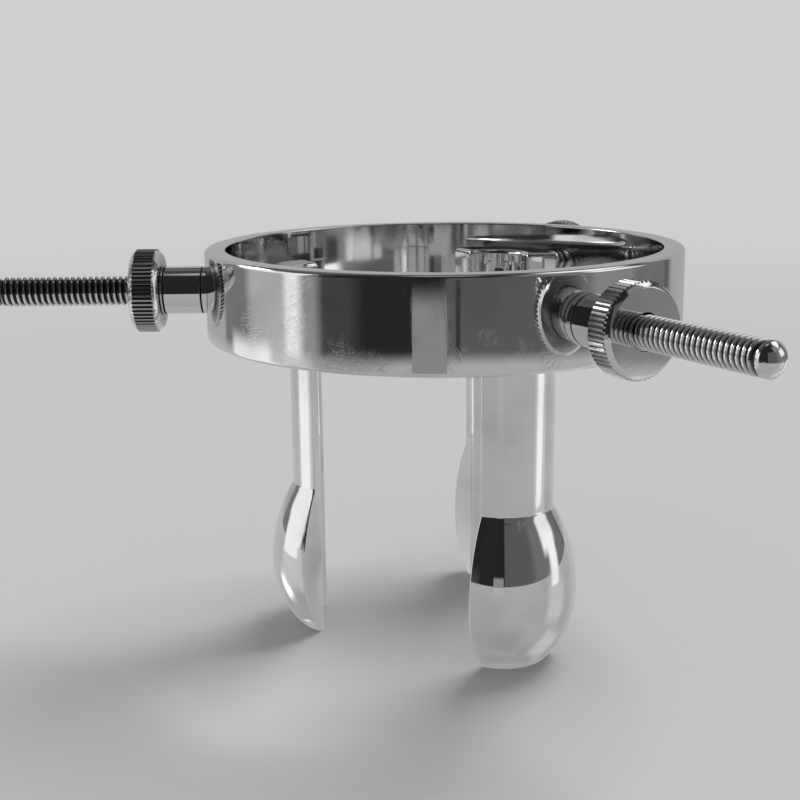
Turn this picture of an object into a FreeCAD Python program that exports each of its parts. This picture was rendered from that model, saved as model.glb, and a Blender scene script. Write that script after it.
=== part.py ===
import FreeCAD, Part
import math
import os

import Sketcher

# Three-bladed ring speculum, in millimetres.
# The origin is the centre of the ring, on the plane of the three rods. +Z points up, away from the blades.
# Each station is one rod with its nut, sleeve, guide and blade. It is drawn with its rod along +X,
# and then turned about Z to its place round the ring.

SIZES = [
    # Ring
    ("ring_diameter", 100.0),
    ("ring_wall", 4.3),
    ("ring_height", 18.5),
    ("ring_outer_round", 0.9),
    ("ring_inner_bevel", 0.3),
    # Guide bush in the ring's wall, sleeve and washer outside it
    ("bush_diameter", 10.0),
    ("bush_proud", 0.9),
    ("bush_fit", 0.01),
    ("sleeve_diameter", 10.0),
    ("sleeve_length", 8.0),
    ("washer_diameter", 10.3),
    ("washer_thickness", 0.55),
    ("face_gap", 0.05),
    # Knurled nut
    ("nut_diameter", 17.5),
    ("nut_thickness", 6.0),
    ("nut_chamfer", 1.0),
    ("knurl_teeth", 60.0),
    ("knurl_depth", 0.3),
    ("knurl_share", 0.62),
    ("thread_fit", 0.05),
    # Rod
    ("rod_diameter", 6.2),
    ("rod_length", 64.6),
    ("rod_dome", 1.9),
    ("rod_fit", 0.08),
    # Blade and its head
    ("rest_offset", 22.8),
    ("sector_angle", 121.6),
    ("bore_radius", 8.0),
    ("stem_wall", 2.25),
    ("crease_drop", 42.0),
    ("widest_drop", 59.8),
    ("tip_drop", 74.4),
    ("widest_radius", 15.2),
    ("tip_land", 1.1),
    ("blade_bevel", 0.3),
    ("head_radius", 15.5),
    ("head_height", 9.5),
    ("head_wall", 1.6),
    ("head_round", 0.9),
    ("seat_fit", 0.01),
    # Pin that holds the rod in the head
    ("pin_diameter", 1.6),
    ("pin_length", 4.5),
    ("pin_sink", 0.1),
]

STATIONS = {"left": 180.0, "front_right": 300.0, "back_right": 60.0}

doc = FreeCAD.newDocument("RingSpeculum")
sheet = doc.addObject("Spreadsheet::Sheet", "Sizes")
for row, (alias, size) in enumerate(SIZES, start=1):
    sheet.set(f"A{row}", alias)
    sheet.set(f"B{row}", str(size))
    sheet.setAlias(f"B{row}", alias)
doc.recompute()


def size(alias):
    return float(sheet.get(alias))


def vector(x, y):
    return FreeCAD.Vector(x, y, 0)


def origin_part(body, role):
    for feature in body.Origin.OriginFeatures:
        if feature.Role == role:
            return feature
    raise ValueError(role)


def new_body(label):
    body = doc.addObject("PartDesign::Body", "Body_" + label)
    body.Label = label
    return body


def new_sketch(body, name, plane):
    sketch = body.newObject("Sketcher::SketchObject", name)
    sketch.AttachmentSupport = [(origin_part(body, plane), "")]
    sketch.MapMode = "FlatFace"
    return sketch


def bind(sketch, name, constraint, formula):
    """Adds a named constraint and ties its length to the sheet."""
    index = sketch.addConstraint(constraint)
    sketch.renameConstraint(index, name)
    sketch.setExpression(f"Constraints.{name}", formula)


def pin_corner(sketch, name, edge, end, x_formula, y_formula):
    """Places one corner of an outline at x and y from the sketch's origin, each tied to the sheet if given."""
    point = sketch.getPoint(edge, end)
    if x_formula:
        bind(sketch, name + "_x", Sketcher.Constraint("DistanceX", -1, 1, edge, end, point.x), x_formula)
    if y_formula:
        bind(sketch, name + "_y", Sketcher.Constraint("DistanceY", -1, 1, edge, end, point.y), y_formula)


def close_outline(sketch, edges):
    for first, second in zip(edges, edges[1:] + edges[:1]):
        sketch.addConstraint(Sketcher.Constraint("Coincident", first, 2, second, 1))


def draw_outline(sketch, corners, formulas):
    """Draws a closed polygon, whose corner number i is tied to the pair of formulas number i."""
    edges = []
    for first, second in zip(corners, corners[1:] + corners[:1]):
        edges.append(sketch.addGeometry(Part.LineSegment(vector(*first), vector(*second)), False))
    close_outline(sketch, edges)
    for number, (x_formula, y_formula) in enumerate(formulas):
        pin_corner(sketch, f"corner{number}", edges[number], 1, x_formula, y_formula)


def draw_circle(sketch, radius, formula):
    edge = sketch.addGeometry(Part.Circle(vector(0, 0), FreeCAD.Vector(0, 0, 1), radius), False)
    sketch.addConstraint(Sketcher.Constraint("Coincident", edge, 3, -1, 1))
    bind(sketch, "radius", Sketcher.Constraint("Radius", edge, radius), formula)


def revolve(body, name, sketch, axis, angle=None):
    turned = body.newObject("PartDesign::Revolution", name)
    turned.Profile = sketch
    turned.ReferenceAxis = (origin_part(body, axis), [""])
    turned.Angle = 360.0
    if angle:
        turned.Midplane = True
        turned.setExpression("Angle", angle)
    return turned


def pocket(body, name, sketch, length, reversed_cut):
    cut = body.newObject("PartDesign::Pocket", name)
    cut.Profile = sketch
    cut.Reversed = reversed_cut
    cut.setExpression("Length", length)
    return cut


def edge_names(shape, wanted):
    return [f"Edge{number}" for number, edge in enumerate(shape.Edges, start=1) if wanted(edge)]


def round_edges(body, name, base, wanted, radius):
    doc.recompute()
    names = edge_names(base.Shape, wanted)
    fillet = body.newObject("PartDesign::Fillet", name)
    fillet.Base = (base, names)
    fillet.setExpression("Radius", radius)
    return fillet


def bevel_edges(body, name, base, wanted, width):
    doc.recompute()
    names = edge_names(base.Shape, wanted)
    chamfer = body.newObject("PartDesign::Chamfer", name)
    chamfer.Base = (base, names)
    chamfer.setExpression("Size", width)


def place(piece, azimuth, outward):
    """Turns a piece about Z to its station and moves it outward by a formula."""
    turn = FreeCAD.Rotation(FreeCAD.Vector(0, 0, 1), azimuth)
    piece.Placement = FreeCAD.Placement(FreeCAD.Vector(0, 0, 0), turn)
    piece.setExpression("Placement.Base.x", f"({outward}) * cos({azimuth} deg)")
    piece.setExpression("Placement.Base.y", f"({outward}) * sin({azimuth} deg)")


def tube(label, azimuth, outer, bore, length, outward):
    """A plain tube along the rod: its outer and bore diameters, length and inner end are formulas."""
    body = new_body(label)
    sketch = new_sketch(body, "Section_" + label, "XZ_Plane")
    inside = size("rod_diameter") / 2
    outside = size("sleeve_diameter") / 2
    reach = size("sleeve_length")
    corners = [(0, inside), (reach, inside), (reach, outside), (0, outside)]
    low = f"({bore}) / 2"
    high = f"({outer}) / 2"
    formulas = [(None, low), (length, low), (length, high), (None, high)]
    draw_outline(sketch, corners, formulas)
    for edge in (0, 3):
        sketch.addConstraint(Sketcher.Constraint("PointOnObject", edge, 1, -2))
    revolve(body, "Turned_" + label, sketch, "X_Axis")
    place(body, azimuth, outward)


# Ring: a turned band with eased edges and one radial hole for each guide bush
def make_ring():
    body = new_body("ring")
    sketch = new_sketch(body, "Ring_section", "XZ_Plane")
    outer = "Sizes.ring_diameter / 2"
    inner = "Sizes.ring_diameter / 2 - Sizes.ring_wall"
    half = size("ring_height") / 2
    radius = size("ring_diameter") / 2
    bore = radius - size("ring_wall")
    corners = [(bore, -half), (radius, -half), (radius, half), (bore, half)]
    formulas = [
        (inner, "-Sizes.ring_height / 2"),
        (outer, "-Sizes.ring_height / 2"),
        (outer, "Sizes.ring_height / 2"),
        (inner, "Sizes.ring_height / 2"),
    ]
    draw_outline(sketch, corners, formulas)
    band = revolve(body, "Ring_band", sketch, "Z_Axis")

    def circle_of(wanted_radius):
        return lambda edge: hasattr(edge.Curve, "Radius") and abs(edge.Curve.Radius - wanted_radius) < 0.001

    outside = round_edges(body, "Ring_outer_rounds", band, circle_of(radius), "Sizes.ring_outer_round")
    bevel_edges(body, "Ring_inner_bevels", outside, circle_of(bore), "Sizes.ring_inner_bevel")

    hole_sketch = new_sketch(body, "Guide_hole_circle", "YZ_Plane")
    draw_circle(hole_sketch, size("bush_diameter") / 2, "Sizes.bush_diameter / 2 + Sizes.bush_fit")
    hole = pocket(body, "Guide_hole", hole_sketch, "Sizes.ring_diameter", False)
    doc.recompute()
    pattern = body.newObject("PartDesign::PolarPattern", "Guide_holes")
    pattern.Originals = [hole]
    pattern.Axis = (origin_part(body, "Z_Axis"), [""])
    pattern.Angle = 360.0
    pattern.Occurrences = len(STATIONS)
    body.Tip = pattern


# Nut: a chamfered disc with straight knurling cut round its rim, tapped for the rod
def make_nut(station, azimuth):
    body = new_body("nut_" + station)
    sketch = new_sketch(body, "Nut_section_" + station, "XZ_Plane")
    radius = size("nut_diameter") / 2
    chamfer = size("nut_chamfer")
    thickness = size("nut_thickness")
    corners = [
        (0, size("rod_diameter") / 2),
        (thickness, size("rod_diameter") / 2),
        (thickness, radius - chamfer),
        (thickness - chamfer, radius),
        (chamfer, radius),
        (0, radius - chamfer),
    ]
    bore = "Sizes.rod_diameter / 2 + Sizes.thread_fit"
    rim = "Sizes.nut_diameter / 2"
    formulas = [
        (None, bore),
        ("Sizes.nut_thickness", bore),
        ("Sizes.nut_thickness", rim + " - Sizes.nut_chamfer"),
        ("Sizes.nut_thickness - Sizes.nut_chamfer", rim),
        ("Sizes.nut_chamfer", rim),
        (None, rim + " - Sizes.nut_chamfer"),
    ]
    draw_outline(sketch, corners, formulas)
    for edge in (0, 5):
        sketch.addConstraint(Sketcher.Constraint("PointOnObject", edge, 1, -2))
    revolve(body, "Nut_blank_" + station, sketch, "X_Axis")

    groove_sketch = new_sketch(body, "Groove_" + station, "YZ_Plane")
    tooth = math.pi * size("nut_diameter") / size("knurl_teeth") * size("knurl_share") / 2
    mouth = "pi * Sizes.nut_diameter / Sizes.knurl_teeth * Sizes.knurl_share / 2"
    root = rim + " - Sizes.knurl_depth"
    above = rim + " + Sizes.knurl_depth"
    depth = size("knurl_depth")
    corners = [(0, radius - depth), (2 * tooth, radius + depth), (-2 * tooth, radius + depth)]
    formulas = [(None, root), (f"2 * {mouth}", above), (f"-2 * {mouth}", above)]
    draw_outline(groove_sketch, corners, formulas)
    groove_sketch.addConstraint(Sketcher.Constraint("PointOnObject", 0, 1, -2))
    groove = pocket(body, "Knurl_groove_" + station, groove_sketch, "Sizes.nut_thickness", True)
    doc.recompute()
    pattern = body.newObject("PartDesign::PolarPattern", "Knurl_" + station)
    pattern.Originals = [groove]
    pattern.Axis = (origin_part(body, "X_Axis"), [""])
    pattern.Angle = 360.0
    pattern.setExpression("Occurrences", "Sizes.knurl_teeth")
    body.Tip = pattern
    place(body, azimuth, NUT_FACE)


# Rod: a plain bar with a domed outer end, its thread at full crest diameter
def make_rod(station, azimuth):
    body = new_body("rod_" + station)
    sketch = new_sketch(body, "Rod_section_" + station, "XZ_Plane")
    radius = size("rod_diameter") / 2
    length = size("rod_length")
    dome = size("rod_dome")
    sphere = (radius**2 + dome**2) / (2 * dome)
    bottom = sketch.addGeometry(Part.LineSegment(vector(0, 0), vector(0, radius)), False)
    side = sketch.addGeometry(Part.LineSegment(vector(0, radius), vector(length - dome, radius)), False)
    centre = vector(length - sphere, 0)
    start = math.atan2(radius, length - dome - centre.x)
    circle = Part.Circle(centre, FreeCAD.Vector(0, 0, 1), sphere)
    crown = sketch.addGeometry(Part.ArcOfCircle(circle, 0, start), False)
    axis = sketch.addGeometry(Part.LineSegment(vector(length, 0), vector(0, 0)), False)
    sketch.addConstraint(Sketcher.Constraint("Coincident", bottom, 2, side, 1))
    sketch.addConstraint(Sketcher.Constraint("Coincident", side, 2, crown, 2))
    sketch.addConstraint(Sketcher.Constraint("Coincident", crown, 1, axis, 1))
    sketch.addConstraint(Sketcher.Constraint("Coincident", axis, 2, bottom, 1))
    sketch.addConstraint(Sketcher.Constraint("Coincident", bottom, 1, -1, 1))
    sketch.addConstraint(Sketcher.Constraint("Vertical", bottom))
    sketch.addConstraint(Sketcher.Constraint("Horizontal", side))
    sketch.addConstraint(Sketcher.Constraint("Horizontal", axis))
    sketch.addConstraint(Sketcher.Constraint("PointOnObject", crown, 3, -1))
    pin_corner(sketch, "side", side, 1, None, "Sizes.rod_diameter / 2")
    pin_corner(sketch, "shoulder", side, 2, "Sizes.rod_length - Sizes.rod_dome", None)
    pin_corner(sketch, "tip", axis, 1, "Sizes.rod_length", None)
    revolve(body, "Rod_bar_" + station, sketch, "X_Axis")
    hole_sketch = new_sketch(body, "Rod_pin_circle_" + station, "YZ_Plane")
    draw_circle(hole_sketch, size("pin_diameter") / 2, "Sizes.pin_diameter / 2 + Sizes.seat_fit")
    pocket(body, "Rod_pin_hole_" + station, hole_sketch, "Sizes.pin_length", True)
    place(body, azimuth, ROD_SEAT + " + Sizes.seat_fit")


# Blade: a third of a tube that widens below a crease into a smooth bulb with a straight bore
def make_blade(station, azimuth):
    body = new_body("blade_" + station)
    sketch = new_sketch(body, "Blade_section_" + station, "XZ_Plane")
    bore = size("bore_radius")
    stem = bore + size("stem_wall")
    widest = size("widest_radius")
    tip = bore + size("tip_land")
    top_z = -size("head_height") / 2
    crease_z = -size("crease_drop")
    widest_z = -size("widest_drop")
    tip_z = -size("tip_drop")

    def bulge_arc(end_radius, end_z):
        """The arc that is upright at the widest point and runs to the given end."""
        inward = widest - end_radius
        along = end_z - widest_z
        radius = (inward**2 + along**2) / (2 * inward)
        centre = vector(widest - radius, widest_z)
        angle = math.atan2(end_z - centre.y, end_radius - centre.x)
        circle = Part.Circle(centre, FreeCAD.Vector(0, 0, 1), radius)
        return Part.ArcOfCircle(circle, min(0, angle), max(0, angle))

    lines = [
        ((bore, top_z), (stem, top_z)),
        ((stem, top_z), (stem, crease_z)),
        ((tip, tip_z), (bore, tip_z)),
        ((bore, tip_z), (bore, top_z)),
    ]
    top, side, land, inside = [
        sketch.addGeometry(Part.LineSegment(vector(*start), vector(*end)), False) for start, end in lines
    ]
    upper = sketch.addGeometry(bulge_arc(stem, crease_z), False)
    lower = sketch.addGeometry(bulge_arc(tip, tip_z), False)
    joints = [
        (top, 2, side, 1),
        (side, 2, upper, 2),
        (upper, 1, lower, 2),
        (lower, 1, land, 1),
        (land, 2, inside, 1),
        (inside, 2, top, 1),
    ]
    for joint in joints:
        sketch.addConstraint(Sketcher.Constraint("Coincident", *joint))
    for edge in (top, land):
        sketch.addConstraint(Sketcher.Constraint("Horizontal", edge))
    for edge in (side, inside):
        sketch.addConstraint(Sketcher.Constraint("Vertical", edge))
    for arc in (upper, lower):
        sketch.addConstraint(Sketcher.Constraint("Horizontal", arc, 3, upper, 1))
    pin_corner(sketch, "bore", top, 1, "Sizes.bore_radius", "-Sizes.head_height / 2")
    pin_corner(sketch, "crease", side, 2, "Sizes.bore_radius + Sizes.stem_wall", "-Sizes.crease_drop")
    pin_corner(sketch, "widest", upper, 1, "Sizes.widest_radius", "-Sizes.widest_drop")
    pin_corner(sketch, "tip", land, 1, "Sizes.bore_radius + Sizes.tip_land", "-Sizes.tip_drop")
    blank = revolve(body, "Blade_sector_" + station, sketch, "Z_Axis", "Sizes.sector_angle")

    def outer_long_edge(edge):
        """The long edges of the two flat sides, outside the bore."""
        low = edge.BoundBox
        middle = edge.valueAt((edge.FirstParameter + edge.LastParameter) / 2)
        on_side = abs(abs(math.degrees(math.atan2(middle.y, middle.x))) - size("sector_angle") / 2) < 0.5
        return on_side and low.ZLength > 1 and math.hypot(middle.x, middle.y) > bore + 0.1

    bevel_edges(body, "Blade_bevels_" + station, blank, outer_long_edge, "Sizes.blade_bevel")
    place(body, azimuth, "Sizes.rest_offset")


# Head: the thicker sector at the top of the blade, drilled for its rod
def make_head(station, azimuth):
    body = new_body("head_" + station)
    sketch = new_sketch(body, "Head_section_" + station, "XZ_Plane")
    low = "-Sizes.head_height / 2"
    high = "Sizes.head_height / 2"
    half = size("head_height") / 2
    bore = size("bore_radius")
    outer = size("head_radius")
    corners = [(bore, -half), (outer, -half), (outer, half), (bore, half)]
    formulas = [
        ("Sizes.bore_radius", low),
        ("Sizes.head_radius", low),
        ("Sizes.head_radius", high),
        ("Sizes.bore_radius", high),
    ]
    draw_outline(sketch, corners, formulas)
    block = revolve(body, "Head_sector_" + station, sketch, "Z_Axis", "Sizes.sector_angle")

    def outer_edge(edge):
        """Every edge but those of the bore's lower end, which meets the stem."""
        box = edge.BoundBox
        middle = edge.valueAt((edge.FirstParameter + edge.LastParameter) / 2)
        return math.hypot(middle.x, middle.y) > bore + size("stem_wall") or box.ZMin > half - 0.01

    round_edges(body, "Head_rounds_" + station, block, outer_edge, "Sizes.head_round")
    seat_sketch = new_sketch(body, "Rod_seat_circle_" + station, "YZ_Plane")
    seat_sketch.setExpression("AttachmentOffset.Base.z", "Sizes.bore_radius + Sizes.head_wall")
    draw_circle(seat_sketch, size("rod_diameter") / 2, "Sizes.rod_diameter / 2 + Sizes.seat_fit")
    pocket(body, "Rod_seat_" + station, seat_sketch, "Sizes.head_radius", True)
    pin_sketch = new_sketch(body, "Head_pin_circle_" + station, "YZ_Plane")
    draw_circle(pin_sketch, size("pin_diameter") / 2, "Sizes.pin_diameter / 2 + Sizes.seat_fit")
    pocket(body, "Head_pin_hole_" + station, pin_sketch, "Sizes.head_radius", True)
    place(body, azimuth, "Sizes.rest_offset")


# Pin: the small plug, seen in the bore, that ties the rod to the head
def make_pin(station, azimuth):
    pin = doc.addObject("Part::Cylinder", "Pin_" + station)
    pin.Label = "pin_" + station
    pin.setExpression("Radius", "Sizes.pin_diameter / 2")
    pin.setExpression("Height", "Sizes.pin_length")
    turn = FreeCAD.Rotation(FreeCAD.Vector(0, 0, 1), azimuth)
    lay = FreeCAD.Rotation(FreeCAD.Vector(0, 1, 0), 90)
    outward = "Sizes.rest_offset + Sizes.bore_radius + Sizes.pin_sink"
    pin.Placement = FreeCAD.Placement(FreeCAD.Vector(0, 0, 0), turn * lay)
    pin.setExpression("Placement.Base.x", f"({outward}) * cos({azimuth} deg)")
    pin.setExpression("Placement.Base.y", f"({outward}) * sin({azimuth} deg)")


BUSH_START = "Sizes.ring_diameter / 2 - Sizes.ring_wall"
BUSH_END = "Sizes.ring_diameter / 2 + Sizes.bush_proud"
SLEEVE_START = BUSH_END + " + Sizes.face_gap"
WASHER_START = SLEEVE_START + " + Sizes.sleeve_length + Sizes.face_gap"
NUT_FACE = WASHER_START + " + Sizes.washer_thickness + Sizes.face_gap"
ROD_SEAT = "Sizes.rest_offset + Sizes.bore_radius + Sizes.head_wall"
ROD_BORE = "Sizes.rod_diameter + 2 * Sizes.rod_fit"

make_ring()
for station, azimuth in STATIONS.items():
    bush_length = "Sizes.ring_wall + Sizes.bush_proud"
    tube("bush_" + station, azimuth, "Sizes.bush_diameter", ROD_BORE, bush_length, BUSH_START)
    tube("sleeve_" + station, azimuth, "Sizes.sleeve_diameter", ROD_BORE, "Sizes.sleeve_length", SLEEVE_START)
    tube("washer_" + station, azimuth, "Sizes.washer_diameter", ROD_BORE, "Sizes.washer_thickness", WASHER_START)
    make_nut(station, azimuth)
    make_rod(station, azimuth)
    make_blade(station, azimuth)
    make_head(station, azimuth)
    make_pin(station, azimuth)

doc.recompute()

# Every object must have recomputed, and every piece must be one valid solid, before anything is written
for item in doc.Objects:
    if "Invalid" in item.State or "Error" in item.State:
        raise RuntimeError(f"{item.Label} did not recompute")

pieces = [item for item in doc.Objects if item.isDerivedFrom("PartDesign::Body") or item.isDerivedFrom("Part::Cylinder")]
for piece in pieces:
    if piece.Shape.isNull() or not piece.Shape.isValid() or len(piece.Shape.Solids) != 1:
        raise RuntimeError(f"{piece.Label} is not one valid solid")

os.makedirs("parts", exist_ok=True)
for piece in pieces:
    piece.Shape.exportStep(f"parts/{piece.Label}.step")
    print(piece.Label, round(piece.Shape.Volume, 1))
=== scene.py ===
import math

import bmesh
import bpy
from bpy.props import FloatProperty, FloatVectorProperty, IntProperty, PointerProperty
from mathutils import Matrix, Vector


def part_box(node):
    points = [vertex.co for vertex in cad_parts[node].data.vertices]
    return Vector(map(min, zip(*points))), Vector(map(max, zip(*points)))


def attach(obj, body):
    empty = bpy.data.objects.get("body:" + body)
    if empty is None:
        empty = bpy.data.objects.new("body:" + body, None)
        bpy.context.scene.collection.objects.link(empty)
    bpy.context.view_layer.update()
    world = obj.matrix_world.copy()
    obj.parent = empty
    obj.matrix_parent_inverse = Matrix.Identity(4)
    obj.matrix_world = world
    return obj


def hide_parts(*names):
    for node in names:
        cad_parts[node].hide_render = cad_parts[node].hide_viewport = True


bl_info = {
    "name": "Ring speculum",
    "version": (1, 0, 0),
    "blender": (4, 5, 0),
    "location": "View3D > Sidebar > Speculum",
    "description": "Dresses the three-bladed ring speculum in polished steel and sets its studio",
    "category": "Object",
}

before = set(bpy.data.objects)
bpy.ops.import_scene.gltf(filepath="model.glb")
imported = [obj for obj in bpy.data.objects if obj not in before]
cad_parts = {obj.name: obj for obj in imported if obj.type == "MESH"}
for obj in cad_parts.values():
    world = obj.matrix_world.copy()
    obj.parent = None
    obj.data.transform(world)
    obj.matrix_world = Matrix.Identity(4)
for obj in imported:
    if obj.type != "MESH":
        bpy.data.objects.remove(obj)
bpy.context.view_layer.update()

# Each station's turn about the ring's axis, in degrees
STATIONS = {"left": 180.0, "front_right": 300.0, "back_right": 60.0}


def length(name, description, default):
    """A setting in metres."""
    return FloatProperty(
        name=name,
        description=description,
        default=default,
        min=0.0,
        precision=5,
        subtype="DISTANCE",
        unit="LENGTH",
    )


def factor(name, description, default):
    """A setting from 0 to 1."""
    return FloatProperty(
        name=name, description=description, default=default, min=0.0, max=1.0, subtype="FACTOR"
    )


def degrees(name, description, default):
    """A setting for an angle, given here in degrees."""
    return FloatProperty(name=name, description=description, default=math.radians(default), subtype="ANGLE")


def grey(name, description, default):
    """A setting for a colour that starts as a neutral grey."""
    return FloatVectorProperty(name=name, description=description, default=(default,) * 3, subtype="COLOR")


def node_span(node, axis):
    """How far a node of the frame reaches along one axis."""
    low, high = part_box(node)
    return high[axis] - low[axis]


RING_HEIGHT = node_span("ring", 2)
RING_DIAMETER = node_span("ring", 0)
BLADE_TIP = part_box("blade_left")[0][2]


class RingSizes(bpy.types.PropertyGroup):
    """Sizes of the ring and of the guide collars that stand on it"""

    diameter: length("Diameter", "Outside diameter of the ring", RING_DIAMETER)
    height: length("Height", "Height of the ring", RING_HEIGHT)
    wall: length("Wall", "Thickness of the ring's wall", 0.0043)
    outer_round: length("Outer round", "Radius of the outer edges", 0.0009)
    inner_round: length("Inner round", "Radius of the inner edges", 0.0003)
    bush_radius: length("Guide radius", "Outside radius of the guide in the wall", 0.005)
    bush_proud: length("Guide height", "How far the guide stands out of the wall", 0.0009)
    around: IntProperty(name="Steps round the ring", description="Faces round the ring", default=288, min=64)


class DriveSizes(bpy.types.PropertyGroup):
    """Sizes of the sleeve, washer, knurled nut and rod of each station"""

    gap: length("Gap", "Gap between faces that meet", 0.00005)
    rod_bore: length("Guide bore", "Radius of the bore of the guide, sleeve and washer", 0.00318)
    sleeve_radius: length("Sleeve radius", "Outside radius of the sleeve", 0.005)
    sleeve_length: length("Sleeve length", "Length of the sleeve", 0.008)
    washer_radius: length("Washer radius", "Outside radius of the washer", 0.00515)
    washer_thickness: length("Washer thickness", "Thickness of the washer", 0.00055)
    nut_radius: length("Nut radius", "Outside radius of the nut", 0.00875)
    nut_thickness: length("Nut thickness", "Thickness of the nut", 0.006)
    nut_chamfer: length("Nut chamfer", "Width of the nut's bevels", 0.001)
    nut_bore: length("Nut bore", "Radius of the nut's bore", 0.00315)
    knurl_depth: length("Knurl depth", "Depth of the grooves round the rim", 0.0003)
    knurl_teeth: IntProperty(name="Knurl teeth", description="Ridges round the rim", default=60, min=12)
    knurl_share: factor("Groove share", "Part of each tooth that is groove", 0.62)
    rod_radius: length("Rod radius", "Crest radius of the thread", 0.0031)
    rod_length: length("Rod length", "Length of the rod", node_span("rod_left", 0))
    rod_dome: length("Rod dome", "Height of the rod's domed end", 0.0019)
    thread_pitch: length("Thread pitch", "Distance from crest to crest", 0.00127)
    thread_depth: length("Thread depth", "Depth of the thread", 0.00062)
    plain_tip: length("Plain tip", "Length of the rod's end without thread", 0.0032)


class BladeSizes(bpy.types.PropertyGroup):
    """Sizes of the blades and of their heads"""

    offset: length("Rest offset", "How far each blade's own axis stands from the ring's", 0.0228)
    half_angle: degrees("Half angle", "Half of the sector that each blade fills", 60.8)
    bore: length("Bore", "Radius of the straight bore", 0.008)
    stem: length("Stem", "Outside radius of the stem", 0.01025)
    widest: length("Bulb", "Outside radius of the bulb", 0.0152)
    tip_land: length("Tip land", "Thickness of the tip", 0.0011)
    edge_round: length("Edge round", "Radius of the long outer edges", 0.0003)
    inner_round: length("Bore edge round", "Radius of the long edges of the bore", 0.00022)
    crease_drop: length("Crease drop", "Depth of the crease under the rods", 0.042)
    widest_drop: length("Bulb drop", "Depth of the widest point under the rods", 0.0598)
    tip_drop: length("Tip drop", "Depth of the tip under the rods", -BLADE_TIP)
    head_radius: length("Head radius", "Outside radius of the head", 0.0155)
    head_height: length("Head height", "Height of the head", 0.0095)
    head_round: length("Head round", "Radius of the head's edges", 0.0009)
    pin_radius: length("Pin radius", "Radius of the pin in the bore", 0.0008)


class SteelLook(bpy.types.PropertyGroup):
    """Colours and polish of the steel"""

    mirror: grey("Polished steel", "Colour of the polished steel", 0.80)
    turned: grey("Turned steel", "Colour of the turned steel", 0.76)
    # Painted shade: the dark colour painted into thread roots, knurling, the nuts' back faces and bores, and
    # the joints of the guide pieces
    painted_shade: grey("Painted shade", "Colour in the roots of threads and knurling and in the joints", 0.07)
    polish: factor("Polish", "Lowest roughness of the polished steel", 0.02)
    haze: factor("Haze", "Extra roughness where the polish is worn", 0.03)


class StageLook(bpy.types.PropertyGroup):
    """Floor, light and camera"""

    floor: grey("Floor", "Colour of the floor", 0.62)
    floor_seen: grey("Floor in the steel", "Colour of the floor as the steel reflects it", 0.56)
    floor_reach: length("Floor reach", "How far out the steel reflects the floor", 0.40)
    floor_sheen: factor("Floor sheen", "Gloss of the floor as the steel sees it", 0.2)
    sun: FloatProperty(name="Sun", description="Strength of the soft light from above", default=1.9)
    sun_spread: degrees("Sun spread", "How soft the shadows are", 32)
    sky: FloatProperty(name="Sky", description="Strength of the even light from all round", default=0.42)
    camera_place: FloatVectorProperty(
        name="Camera",
        description="Place of the camera",
        default=(-0.0095, -0.2849, 0.04065),
        precision=5,
        subtype="TRANSLATION",
        unit="LENGTH",
    )
    camera_dip: degrees("Dip", "How far the camera looks down", 12.87)
    camera_roll: degrees("Roll", "Roll of the camera", -0.61)
    lens: FloatProperty(name="Lens", description="Focal length on a 36 mm sensor, in mm", default=60.75)


class SpeculumSettings(bpy.types.PropertyGroup):
    """All the sizes and colours of the ring speculum"""

    ring: PointerProperty(type=RingSizes, name="Ring", description="Ring and guide collars")
    drive: PointerProperty(type=DriveSizes, name="Drive", description="Sleeves, washers, nuts and rods")
    blade: PointerProperty(type=BladeSizes, name="Blades", description="Blades, heads and pins")
    steel: PointerProperty(type=SteelLook, name="Steel", description="Colours and polish")
    stage: PointerProperty(type=StageLook, name="Stage", description="Floor, light and camera")


# Mesh helpers


def clamp(value):
    """The value held between 0 and 1."""
    return min(1.0, max(0.0, value))


def station_place(station, outward=0.0):
    """The turn and shift that take a piece drawn along +X to its station."""
    turn = Matrix.Rotation(math.radians(STATIONS[station]), 4, "Z")
    return turn @ Matrix.Translation((outward, 0.0, 0.0))


def add_mesh(name, points, faces, place, sharp=None, painted_shade_of=None):
    """Makes one smooth mesh object.

    Edges sharper than the given angle stay crisp. The painted shade function gives each point's painted shade
    mark, kept in a point attribute that the steel reads.
    """
    mesh = bpy.data.meshes.new(name)
    mesh.from_pydata([place @ Vector(point) for point in points], [], faces)
    build = bmesh.new()
    build.from_mesh(mesh)
    bmesh.ops.remove_doubles(build, verts=build.verts, dist=1e-8)
    bmesh.ops.recalc_face_normals(build, faces=build.faces)
    build.to_mesh(mesh)
    build.free()
    mesh.shade_smooth()
    if sharp is not None:
        mesh.set_sharp_from_angle(angle=sharp)
    piece = bpy.data.objects.new(name, mesh)
    bpy.context.scene.collection.objects.link(piece)
    # Painted shade: each point's darkening is stored on the mesh for the steel material
    if painted_shade_of:
        attribute = mesh.attributes.new("painted_shade", "FLOAT", "POINT")
        back = place.inverted()
        for vertex in mesh.vertices:
            attribute.data[vertex.index].value = painted_shade_of(back @ vertex.co)
    weighted = piece.modifiers.new("Flat faces stay flat", "WEIGHTED_NORMAL")
    weighted.keep_sharp = True
    return piece


def dress(piece, material, body, slot, *nodes):
    """Gives a piece its steel, its body and the nodes that it stands for."""
    piece.data.materials.clear()
    piece.data.materials.append(material)
    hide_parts(*nodes)
    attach(piece, body)


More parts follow.
